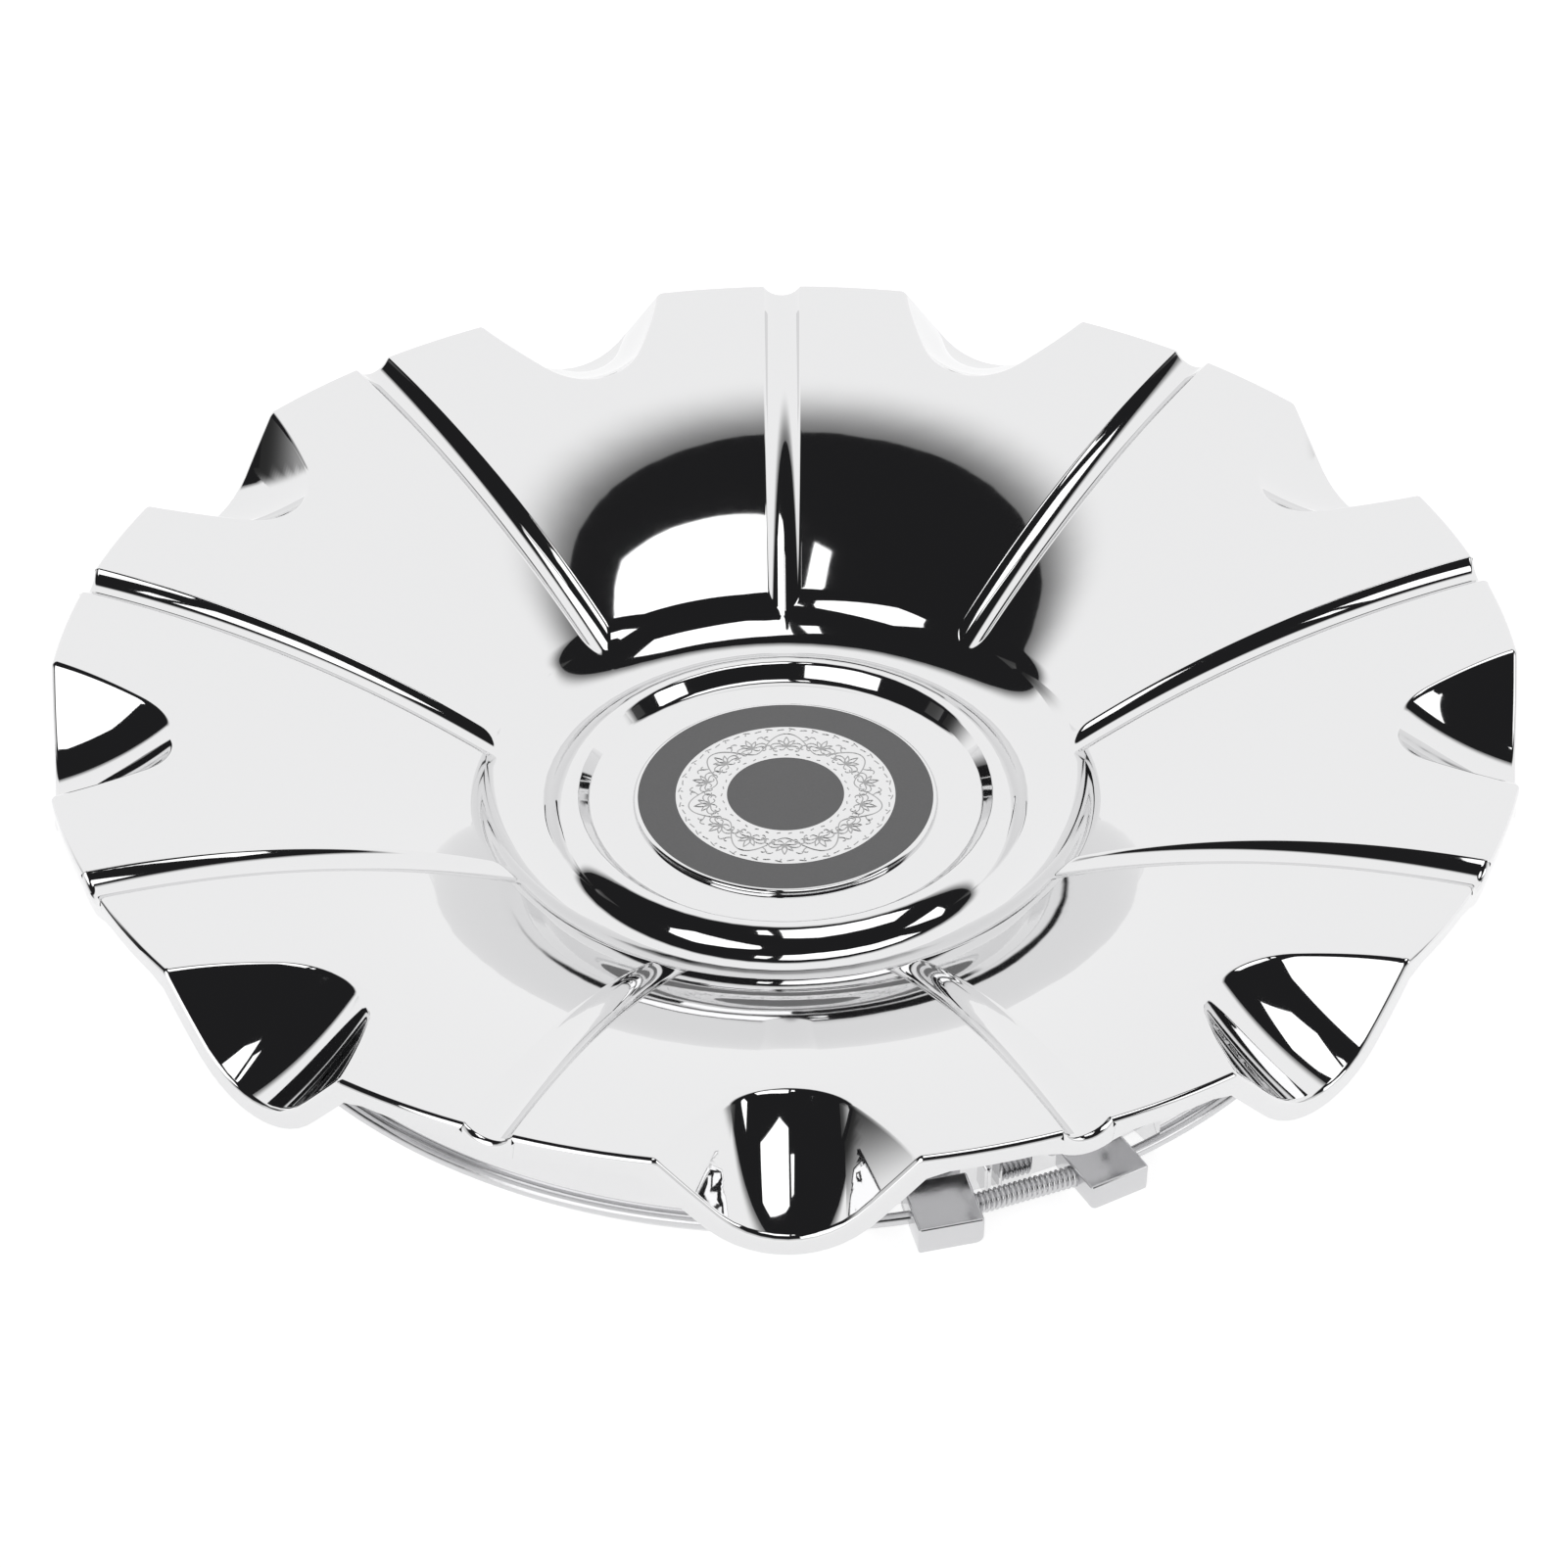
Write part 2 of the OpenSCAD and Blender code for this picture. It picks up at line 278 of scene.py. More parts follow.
class Weave:
    """A mesh woven from rings, with a normal kept for each corner."""

    def __init__(self):
        self.points = []
        self.faces = []
        self.corners = []
        self.count = 0

    def ring(self, points):
        """Adds a ring of points and gives their numbers."""
        start = self.count
        self.points.append(points)
        self.count += len(points)
        return np.arange(start, self.count)

    def join(self, ring_a, ring_b, normals_a, normals_b):
        """Quads between two rings with as many points."""
        n = len(ring_a)
        for i in range(n):
            k = (i + 1) % n
            self.add([ring_a[i], ring_a[k], ring_b[k], ring_b[i]],
                     [normals_a[i], normals_a[k], normals_b[k], normals_b[i]])

    def thin_out(self, dense, sparse, normals_dense, normals_sparse, under):
        """Joins a ring to the next one inside it, which has half as many points."""
        n, m = len(dense), len(sparse)
        for i in range(m):
            a, b, c = 2 * i, 2 * i + 1, (2 * i + 2) % n
            k = (i + 1) % m
            tri = [dense[a], dense[b], sparse[i]]
            tri_n = [normals_dense[a], normals_dense[b], normals_sparse[i]]
            quad = [dense[b], dense[c], sparse[k], sparse[i]]
            quad_n = [normals_dense[b], normals_dense[c], normals_sparse[k], normals_sparse[i]]
            if not under:
                tri, tri_n, quad, quad_n = tri[::-1], tri_n[::-1], quad[::-1], quad_n[::-1]
            self.add(tri, tri_n)
            self.add(quad, quad_n)

    def close(self, ring, centre, normal):
        """A fan from a ring to a point."""
        tip = self.ring(np.array([centre]))[0]
        n = len(ring)
        for i in range(n):
            k = (i + 1) % n
            self.add([ring[i], ring[k], tip], [normal] * 3)

    def add(self, face, normals):
        """A face given clockwise as seen from outside."""
        self.faces.append([int(v) for v in face[::-1]])
        self.corners.extend(normals[::-1])

    def build(self, name, material):
        """The object that the rings make, in metres."""
        points = np.concatenate(self.points) * MM
        mesh = bpy.data.meshes.new(name)
        mesh.from_pydata(points.tolist(), [], self.faces)
        for polygon in mesh.polygons:
            polygon.use_smooth = True
        mesh.normals_split_custom_set([tuple(n) for n in self.corners])
        mesh.materials.append(material)
        piece = bpy.data.objects.new(name, mesh)
        bpy.context.scene.collection.objects.link(piece)
        return piece


def revolved(point, normal, turns):
    """A ring of a revolved section: its points and normals from one point (r, z) and one normal."""
    a = np.radians(turns)
    c, s = np.cos(a), np.sin(a)
    ring = np.stack([point[0] * c, point[0] * s, np.full_like(c, point[1])], -1)
    normals = np.stack([normal[0] * c, normal[0] * s, np.full_like(c, normal[1])], -1)
    return ring, normals


def arc(centre, radius, start, stop, steps):
    """Points and outward normals along an arc of the section, angles in degrees from +r towards +z."""
    out = []
    for t in np.linspace(start, stop, steps + 1):
        n = np.array([math.cos(math.radians(t)), math.sin(math.radians(t))])
        out.append((np.array(centre) + radius * n, n))
    return out


def rolled_edge(turns):
    """The rim's rolled edge: rings of points and normals from the face to the upright band."""
    out = upright(turns)
    r = np.full(len(turns), RIM_R - ROLL)
    for _ in range(4):
        x, y = r * out[:, 0], r * out[:, 1]
        n = normals_of(face_height, x, y)
        r = RIM_R - ROLL + ROLL * (n * out).sum(1)
    x, y = r * out[:, 0], r * out[:, 1]
    n = normals_of(face_height, x, y)
    start = np.stack([x, y, face_height(x, y)], -1)
    centre = start - ROLL * n
    rings = []
    for t in np.linspace(0.0, 1.0, 7):
        way = np.sin((1 - t) * math.pi / 2) * n + np.sin(t * math.pi / 2) * out
        way /= np.linalg.norm(way, axis=1, keepdims=True)
        rings.append((centre + ROLL * way, way))
    return rings


# Radii where the boss ring's section starts, and of the first and the last ring outside it
SECTION_R = 49.0
FACE_IN_R = 50.0
FACE_OUT_R = 123.3


def face_rings():
    """Points and normals of the face's rings, out to the upright band and closest where its shape bends."""
    radii = np.concatenate([np.arange(FACE_IN_R, 58.0, 0.5), np.arange(58.0, 101.0, 1.6),
                            np.arange(101.0, 107.0, 0.45), np.arange(107.0, 123.0, 0.8), [FACE_OUT_R]])
    rings = []
    for r in radii:
        p = ring_points(r, ring_turns(r), face_height)
        rings.append((p, normals_of(face_height, p[:, 0], p[:, 1])))
    return rings + rolled_edge(ring_turns(FACE_OUT_R))


def under_rings():
    """Points and normals of the underside's rings, from the rim in to the trough."""
    radii = np.concatenate([[RIM_R], np.arange(123.5, 103.0, -1.5), np.arange(102.0, 58.0, -3.0),
                            np.arange(57.0, 46.0, -1.0)])
    rings = []
    for r in radii:
        p = ring_points(r, ring_turns(FACE_OUT_R if r == RIM_R else r), under_height)
        rings.append((p, normals_of(under_height, p[:, 0], p[:, 1], -1.0)))
    return rings


def cap_face(material):
    """The moulding from the emblem's recess out to the rim and back under itself, as one closed mesh."""
    weave = Weave()
    rings = face_rings()
    turns = ring_turns(FACE_IN_R)[::2]

    # Face, from the trough out to the band, then from the trough in to the recess's floor
    ids = [weave.ring(p) for p, n in rings]
    for k in range(len(rings) - 1):
        weave.join(ids[k], ids[k + 1], rings[k][1], rings[k + 1][1])
    inner = [revolved(p, n, turns) for p, n in boss_section() + [((EMBLEM_R, FLOOR_Z), (0.0, 1.0))]]
    in_ids = [weave.ring(p) for p, n in inner]
    weave.thin_out(ids[0], in_ids[0], rings[0][1], inner[0][1], under=False)
    for k in range(len(inner) - 1):
        weave.join(in_ids[k + 1], in_ids[k], inner[k + 1][1], inner[k][1])
    weave.close(in_ids[-1][::-1], (0.0, 0.0, FLOOR_Z), (0.0, 0.0, 1.0))

    # Band and underside
    below = under_rings()
    below_ids = [weave.ring(p) for p, n in below]
    out = upright(ring_turns(FACE_OUT_R))
    weave.join(ids[-1], below_ids[0], out, out)
    for k in range(len(below) - 1):
        weave.join(below_ids[k], below_ids[k + 1], below[k][1], below[k + 1][1])
    back = under_boss(turns)
    back_ids = [weave.ring(p) for p, n, fresh in back]
    weave.thin_out(below_ids[-1], back_ids[0], below[-1][1], back[0][1], under=True)
    for k in range(len(back) - 1):
        fresh = back[k + 1][2]
        weave.join(back_ids[k], back_ids[k + 1], back[k][1] if fresh is None else fresh, back[k + 1][1])
    weave.close(back_ids[-1], (0.0, 0.0, FLOOR_Z - WALL), (0.0, 0.0, -1.0))
    return weave.build("cap_face", material)


def boss_section():
    """Points and normals of the face's section from the trough over the boss ring to the recess's floor."""
    flank, crest, wall = (math.radians(t) for t in (FLANK_SLOPE, CREST_SLOPE, INNER_SLOPE))
    drop = math.sqrt((TROUGH_BEND - FOOT_BEND) ** 2 - FOOT_SET ** 2)
    foot_c = TROUGH_C + np.array([FOOT_SET, -drop])
    lean = math.degrees(math.atan2(FOOT_SET, drop))
    start = math.degrees(math.asin((SECTION_R - TROUGH_C[0]) / TROUGH_BEND))
    flank_c = foot_c - (FOOT_BEND + FLANK_BEND) * np.array([math.sin(flank), math.cos(flank)])
    crest_c = flank_c + (FLANK_BEND - CREST_BEND) * np.array([math.sin(crest), math.cos(crest)])
    inner_c = crest_c + np.array([0.0, CREST_BEND - INNER_BEND])
    fall = crest_c[1] + CREST_BEND - FLOOR_Z - (INNER_BEND + FILLET_BEND) * (1 - math.cos(wall))
    reach = (INNER_BEND + FILLET_BEND) * math.sin(wall) + fall / math.tan(wall)
    fillet_c = np.array([crest_c[0] - reach, FLOOR_Z + FILLET_BEND])
    bends = [
        (TROUGH_C, TROUGH_BEND, 270 + start, 270 + lean, 6, -1),
        (foot_c, FOOT_BEND, 270 + lean, 270 - FLANK_SLOPE, 14, -1),
        (flank_c, FLANK_BEND, 90 - FLANK_SLOPE, 90 - CREST_SLOPE, 8, 1),
        (crest_c, CREST_BEND, 90 - CREST_SLOPE, 90, 6, 1),
        (inner_c, INNER_BEND, 90, 90 + INNER_SLOPE, 9, 1),
        (fillet_c, FILLET_BEND, 270 + INNER_SLOPE, 270, 10, -1),
    ]
    section = []
    for centre, radius, first, last, steps, side in bends:
        points = arc(centre, radius, first, last, steps)
        joined = section and np.allclose(points[0][0], section[-1][0])
        section += [(p, side * n) for p, n in points[1 if joined else 0:]]
    return section


def under_boss(turns):
    """The underside below the boss ring, with its cored groove, as rings from the trough inwards.

    A ring has its points, its normals, and at a sharp edge the normals that the face before it has there.
    """
    down = (0.0, -1.0)
    out = (1.0, 0.0)
    inward = (-1.0, 0.0)
    core_out = BOSS_C[0] + CORE_W
    core_top = BOSS_Z - WALL - CORE_W / 2
    flat = TROUGH_Z - WALL
    stations = [((TROUGH_C[0], flat), down, None), ((core_out, flat), down, None)]
    stations.append(((core_out, core_top), inward, inward))
    for p, n in arc((BOSS_C[0] + CORE_W / 2, core_top), CORE_W / 2, 0.0, 180.0, 8)[1:]:
        stations.append((tuple(p), tuple(-n), None))
    stations.append(((BOSS_C[0], flat), out, None))
    stations.append(((RECESS_R, flat), down, down))
    stations.append(((RECESS_R, FLOOR_Z - WALL), inward, inward))
    stations.append(((EMBLEM_R, FLOOR_Z - WALL), down, down))
    rings = []
    for point, normal, fresh in stations:
        ring, norm = revolved(point, normal, turns)
        start = None if fresh is None else revolved(point, fresh, turns)[1]
        rings.append((ring, norm, start))
    return rings


# Materials

CHROME = (0.78, 0.78, 0.785, 1.0)
# The colour that the engraved ring's cuts darken to, and the depth in mm below the plate's top where the
# darkening starts
CUT_DARK_TONE = (0.36, 0.36, 0.362, 1.0)
DARKENING_FROM = 0.01
PAINT_DARK = (0.19, 0.19, 0.193, 1.0)
PAINT_PALE = (0.22, 0.22, 0.223, 1.0)


def new_material(name):
    """A material, its nodes, its links and its shader."""
    material = bpy.data.materials.new(name)
    material.use_nodes = True
    nodes = material.node_tree.nodes
    links = material.node_tree.links
    return material, nodes, links, nodes["Principled BSDF"]


def noise(nodes, links, scale, detail):
    """Noise over the piece's own coordinates."""
    coords = nodes.new("ShaderNodeTexCoord")
    texture = nodes.new("ShaderNodeTexNoise")
    texture.inputs["Scale"].default_value = scale
    texture.inputs["Detail"].default_value = detail
    links.new(coords.outputs["Object"], texture.inputs["Vector"])
    return texture.outputs["Fac"]


def add_bump(nodes, links, height, strength, distance):
    """Bumps on the shader, from that height."""
    bump = nodes.new("ShaderNodeBump")
    bump.inputs["Strength"].default_value = strength
    bump.inputs["Distance"].default_value = distance
    links.new(height, bump.inputs["Height"])
    links.new(bump.outputs["Normal"], nodes["Principled BSDF"].inputs["Normal"])


def vary_roughness(nodes, links, amount, low, high):
    """Roughness on the shader, from low to high as the amount goes from 0 to 1."""
    span = nodes.new("ShaderNodeMapRange")
    span.inputs["To Min"].default_value = low
    span.inputs["To Max"].default_value = high
    links.new(amount, span.inputs["Value"])
    links.new(span.outputs["Result"], nodes["Principled BSDF"].inputs["Roughness"])


def mix_colours(nodes, links, amount, first, second):
    """The shader's colour, mixed from two."""
    tone = nodes.new("ShaderNodeMix")
    tone.data_type = "RGBA"
    tone.inputs["A"].default_value = first
    tone.inputs["B"].default_value = second
    links.new(amount, tone.inputs["Factor"])
    links.new(tone.outputs["Result"], nodes["Principled BSDF"].inputs["Base Color"])


def chrome_material(name):
    """Chrome plating: a near mirror, with the faint ripple and the fine haze of plated plastic."""
    material, nodes, links, shader = new_material(name)
    shader.inputs["Metallic"].default_value = 1.0
    shader.inputs["Base Color"].default_value = CHROME
    add_bump(nodes, links, noise(nodes, links, 55.0, 2.0), 0.04, 0.0006)
    vary_roughness(nodes, links, noise(nodes, links, 400.0, 3.0), 0.02, 0.05)
    return material


def engraved_material():
    """The emblem's bright plate, darker in the deeper part of the cuts of its engraved ring."""
    material = chrome_material("emblem_engraving")
    nodes, links = material.node_tree.nodes, material.node_tree.links
    coords = nodes.new("ShaderNodeTexCoord")
    split = nodes.new("ShaderNodeSeparateXYZ")
    links.new(coords.outputs["Object"], split.inputs["Vector"])
    top = FLOOR_Z + EMBLEM_T
    deep = nodes.new("ShaderNodeMapRange")
    deep.inputs["From Min"].default_value = (top - DARKENING_FROM) * MM
    deep.inputs["From Max"].default_value = (top - 0.6 * CUT_DEPTH) * MM
    links.new(split.outputs["Z"], deep.inputs["Value"])
    flat = nodes.new("ShaderNodeVectorMath")
    flat.operation = "MULTIPLY"
    flat.inputs[1].default_value = (1.0, 1.0, 0.0)
    links.new(coords.outputs["Object"], flat.inputs[0])
    radius = nodes.new("ShaderNodeVectorMath")
    radius.operation = "LENGTH"
    links.new(flat.outputs["Vector"], radius.inputs[0])
    within = nodes.new("ShaderNodeMath")
    within.operation = "LESS_THAN"
    within.inputs[1].default_value = BAND_R * MM
    links.new(radius.outputs["Value"], within.inputs[0])
    # The colour darkens towards the floors of the cuts, only inside the engraved ring's outer radius
    darkened = nodes.new("ShaderNodeMath")
    darkened.operation = "MULTIPLY"
    links.new(deep.outputs["Result"], darkened.inputs[0])
    links.new(within.outputs["Value"], darkened.inputs[1])
    mix_colours(nodes, links, darkened.outputs["Value"], CHROME, CUT_DARK_TONE)
    return material


def metal_material(name, tone, rough, scale):
    """Bare metal of that tone, whose roughness varies between two values at that scale."""
    material, nodes, links, shader = new_material(name)
    shader.inputs["Metallic"].default_value = 1.0
    shader.inputs["Base Color"].default_value = (tone, tone, tone + 0.01, 1.0)
    grain = noise(nodes, links, scale, 4.0)
    vary_roughness(nodes, links, grain, *rough)
    add_bump(nodes, links, grain, 0.1, 0.0001)
    return material


def paint_material():
    """The emblem's grey enamel: even and satin, with the faint grain of a printed film."""
    material, nodes, links, shader = new_material("emblem_paint")
    mix_colours(nodes, links, noise(nodes, links, 2600.0, 3.0), PAINT_DARK, PAINT_PALE)
    shader.inputs["Roughness"].default_value = 0.6
    shader.inputs["Specular IOR Level"].default_value = 0.2
    return material


# The camera, fitted to the photograph

CAMERA_AT = Vector((-0.000256, -0.437039, 0.352080))
CAMERA_ELEVATION = math.radians(38.241)
CAMERA_ROLL = math.radians(-0.544)
CAMERA_TURN = math.radians(0.11)
CAMERA_LENS = 72.19
CAMERA_SENSOR = 36.0


def make_camera():
    """The camera, which looks away from the front and down, and is rolled and turned a little."""
    data = bpy.data.cameras.new("camera")
    data.lens = CAMERA_LENS
    data.sensor_width = CAMERA_SENSOR
    data.clip_start = 0.01
    camera = bpy.data.objects.new("camera", data)
    right = Vector((1.0, 0.0, 0.0))
    up = Vector((0.0, math.sin(CAMERA_ELEVATION), math.cos(CAMERA_ELEVATION)))
    back = Vector((0.0, -math.cos(CAMERA_ELEVATION), math.sin(CAMERA_ELEVATION)))
    c, s = math.cos(CAMERA_ROLL), math.sin(CAMERA_ROLL)
    x = c * right + s * up
    y = -s * right + c * up
    matrix = Matrix.Identity(4)
    for row in range(3):
        matrix[row][0] = x[row]
        matrix[row][1] = y[row]
        matrix[row][2] = back[row]
        matrix[row][3] = CAMERA_AT[row]
    camera.matrix_world = Matrix.Rotation(CAMERA_TURN, 4, "Z") @ matrix
    bpy.context.scene.collection.objects.link(camera)
    bpy.context.scene.camera = camera


# What the plainer pieces share

def faced_out(mesh):
    """The mesh with its faces turned outwards."""
    work = bmesh.new()
    work.from_mesh(mesh)
    bmesh.ops.recalc_face_normals(work, faces=work.faces)
    work.to_mesh(mesh)
    work.free()
    return mesh


def placed(name, mesh, material, sharp):
    """An object of that mesh, smooth except where faces meet at more than that angle."""
    mesh.materials.append(material)
    piece = bpy.data.objects.new(name, mesh)
    bpy.context.scene.collection.objects.link(piece)
    bpy.ops.object.select_all(action="DESELECT")
    piece.select_set(True)
    bpy.context.view_layer.objects.active = piece
    bpy.ops.object.shade_smooth_by_angle(angle=math.radians(sharp))
    return piece


def tube_faces(rings, around):
    """Faces of a tube with so many rings of so many points: quads between them, and a cap on each end."""
    faces = []
    for i in range(rings - 1):
        for j in range(around):
            k = (j + 1) % around
            faces.append([i * around + j, i * around + k, (i + 1) * around + k, (i + 1) * around + j])
    faces.append(list(range(around))[::-1])
    faces.append([(rings - 1) * around + j for j in range(around)])
    return faces


# The skirt, with the pocket for the adjuster, its key and its hook

LUG_C = LUG_GAP / 2 + LUG_W / 2
LUG_HALF = math.degrees(math.asin(LUG_C / RING_R))
STUD_LINE = RING_R * math.cos(math.radians(LUG_HALF)) + STUD_SET
KEY_R = STUD_LINE - STUD_D / 2 - KEY_CLEAR
KEY_EDGE = 0.35
SEAT_POINTS = 9
FOOT_POINTS = 7


def skirt_profile(outer, inner, top, seated):
    """The closed outline of the skirt's wall in section, from its outer top corner down and round."""
    points = [(outer, top)]
    if seated:
        reach = WIRE_D / 2
        dip = math.degrees(math.acos((RING_R - outer) / reach))
        points += [(RING_R + reach * math.cos(math.radians(t)), RING_H + reach * math.sin(math.radians(t)))
                   for t in np.linspace(180 - dip, 180 + dip, SEAT_POINTS)]
        points += [(outer - FOOT_ROUND + FOOT_ROUND * math.cos(math.radians(t)),
                    FOOT_ROUND + FOOT_ROUND * math.sin(math.radians(t)))
                   for t in np.linspace(0, -90, FOOT_POINTS)]
    else:
        steps = SEAT_POINTS + FOOT_POINTS
        points += [(outer, top - top * k / steps) for k in range(1, steps + 1)]
    points += [(inner, 0.0), (inner, top)]
    return points


def skirt_wall():
    """The skirt's wall as one closed mesh, recessed behind the adjuster."""
    wall_half = POCKET_HALF + math.degrees(math.asin(WALL / POCKET_R))
    spans = [(wall_half, 360.0 - wall_half, 341, True, False), (-wall_half, -POCKET_HALF, 5, True, True),
             (-POCKET_HALF, POCKET_HALF, 29, False, True), (POCKET_HALF, wall_half, 5, True, True)]
    stations = [(t, seated, bulged) for first, last, count, seated, bulged in spans
                for t in np.linspace(first, last, count)]
    points, faces = [], []
    for turn, seated, bulged in stations:
        outer = SKIRT_R if seated else POCKET_R
        inner = POCKET_R - WALL if bulged else SKIRT_IN
        top = float(section_height(np.array([inner]), WALL)[0]) + WALL / 4
        a = math.radians(ADJUSTER_AT + turn)
        for r, z in skirt_profile(outer, inner, top, seated):
            points.append((r * math.cos(a) * MM, r * math.sin(a) * MM, z * MM))
    size = len(points) // len(stations)
    for s in range(len(stations)):
        t = (s + 1) % len(stations)
        for k in range(size):
            m = (k + 1) % size
            faces.append([s * size + k, s * size + m, t * size + m, t * size + k])
    mesh = bpy.data.meshes.new("cap_skirt")
    mesh.from_pydata(points, [], faces)
    return mesh


def add_block(work, far, off, width, top):
    """A soft-edged block that stands on the table's level, from the pocket's wall out to that radius."""
    near = POCKET_R - WALL / 2
    made = bmesh.ops.create_cube(work, size=1.0)["verts"]
    for v in made:
        v.co = Vector(((near + far) / 2 + v.co.x * (far - near), off + v.co.y * width,
                       top / 2 + v.co.z * top)) * MM
    edges = list({e for v in made for e in v.link_edges})
    grown = bmesh.ops.bevel(work, geom=edges, offset=KEY_EDGE * MM, segments=3, affect="EDGES")
    turned = set(grown["verts"]) | {v for v in made if v.is_valid}
    bmesh.ops.rotate(work, verts=list(turned), cent=(0, 0, 0),
                     matrix=Matrix.Rotation(math.radians(ADJUSTER_AT), 3, "Z"))


def cap_skirt(material):
    """The skirt's wall, with the key in its pocket and the small hook beside the key."""
    mesh = skirt_wall()
    work = bmesh.new()
    work.from_mesh(mesh)
    pocket_top = float(section_height(np.array([POCKET_R]), WALL)[0])
    add_block(work, KEY_R, 0.0, KEY_W, pocket_top - WALL)
    add_block(work, KEY_R - HOOK_W, -HOOK_SET, HOOK_W, RING_H + LUG_T / 2)
    bmesh.ops.recalc_face_normals(work, faces=work.faces)
    work.to_mesh(mesh)
    work.free()
    return placed("cap_skirt", mesh, material, 32.0)


# The emblem: an engraved ring between two painted fields, on a plate with a bevelled edge

LOBES = 7
VINE_R = 15.0
VINE_SWING = 2.45
BORDER_SET = 3.72
CUT_HALF = 0.17
PAINT_SINK = 0.03
BEVEL = 0.75
EMBLEM_TURN = 12.0

# Points round the emblem, a whole number for each lobe, and rows across its engraved ring
EMBLEM_STEPS = 140 * LOBES
RING_STEPS = 79


def scroll(start, heading, length, bend_a, bend_b, steps=18):
    """A curling stroke: its curvature runs from the first value to the second, in turns of 1/mm."""
    s = np.linspace(0.0, length, steps + 1)
    turn = math.radians(heading) + bend_a * s + (bend_b - bend_a) * s * s / (2 * length)
    step = length / steps
    x = start[0] + np.concatenate([[0.0], np.cumsum(np.cos((turn[1:] + turn[:-1]) / 2) * step)])
    y = start[1] + np.concatenate([[0.0], np.cumsum(np.sin((turn[1:] + turn[:-1]) / 2) * step)])
    return np.stack([x, y], -1)


def leaf(base, heading, length, width):
    """The outline of a pointed leaf."""
    t = np.linspace(0.0, 1.0, 11)
    along, across = length * t, width * np.sin(math.pi * t ** 0.8)
    c, s = math.cos(math.radians(heading)), math.sin(math.radians(heading))
    x = np.concatenate([along, along[::-1]])
    y = np.concatenate([across, -across[::-1]])
    return np.stack([base[0] + c * x - s * y, base[1] + s * x + c * y], -1)


def palmette(base, heading, size):
    """A traditional spray: a middle leaf, two side leaves, and scrolls that curl over on either side."""
    strokes = [leaf(base, heading, 1.9 * size, 0.3 * size)]
    for side in (1, -1):
        strokes.append(leaf(base, heading + side * 38, 1.6 * size, 0.26 * size))
        strokes.append(scroll(base, heading + side * 58, 3.6 * size, -side * 0.35 / size, side * 2.9 / size))
        strokes.append(scroll(base, heading + side * 96, 2.9 * size, -side * 0.9 / size, side * 3.4 / size))
        strokes.append(scroll(base, heading + side * 150, 1.3 * size, side * 0.4 / size, -side * 3.4 / size))
    return strokes


def ornament():
    """The strokes of one lobe of the border, unrolled: x runs along the vine's circle and y outwards."""
    span = 2 * math.pi * VINE_R / LOBES
    u = np.linspace(-span / 2, span / 2, 61)
    strokes = [np.stack([u, VINE_SWING * np.cos(2 * math.pi * u / span)], -1)]
    strokes += palmette((0.0, -1.35), 90, 1.5)
    for x in (-span / 2, span / 2):
        strokes += palmette((x, -0.7), 90, 1.4)
    for side in (1, -1):
        strokes.append(scroll((side * 0.22 * span, 0.5), 90 - side * 52, 2.1, -side * 0.3, side * 3.4))
        strokes.append(scroll((side * 0.27 * span, -0.6), 90 + side * 100, 2.2, side * 0.6, side * 2.6))
        strokes.append(scroll((side * 0.36 * span, 1.6), 90 + side * 30, 1.5, side * 0.8, side * 3.4))
    for k in range(8):
        x = (k - 3.5) * span / 8
        strokes.append(scroll((x - 0.42, BORDER_SET), 18 if k % 2 else -14, 0.95, 0.5, -0.9, 5))
        if k % 2:
            strokes.append(scroll((x + 0.28, BORDER_SET - 0.1), -70, 0.35, 0.0, 0.0, 2))
    for k in range(5):
        x = (k - 2) * span / 5
        strokes.append(scroll((x - 0.5, -BORDER_SET), 14 if k % 2 else -10, 0.8, -0.6, 0.9, 5))
    return strokes


def nearest(points, strokes):
    """Distance from each point to the nearest stroke."""
    best = np.full(len(points), np.inf)
    for stroke in strokes:
        for a, b in zip(stroke[:-1], stroke[1:]):
            way = b - a
            t = np.clip(((points - a) @ way) / max(way @ way, 1e-12), 0.0, 1.0)
            best = np.minimum(best, np.hypot(*(points - a - t[:, None] * way).T))
    return best


def engraving(turns, radii):
    """Depth of the cuts over the engraved ring, for each radius and angle."""
    one_lobe = turns[:len(turns) // LOBES]
    u, v = np.meshgrid((np.radians(one_lobe) - math.pi / LOBES) * VINE_R, radii - VINE_R)
    gap = nearest(np.stack([u.ravel(), v.ravel()], -1), ornament())
    near = np.clip(1.0 - gap / CUT_HALF, 0.0, 1.0)
    depth = CUT_DEPTH * (0.5 - 0.5 * np.cos(math.pi * near))
    return np.tile(depth.reshape(u.shape), (1, LOBES))


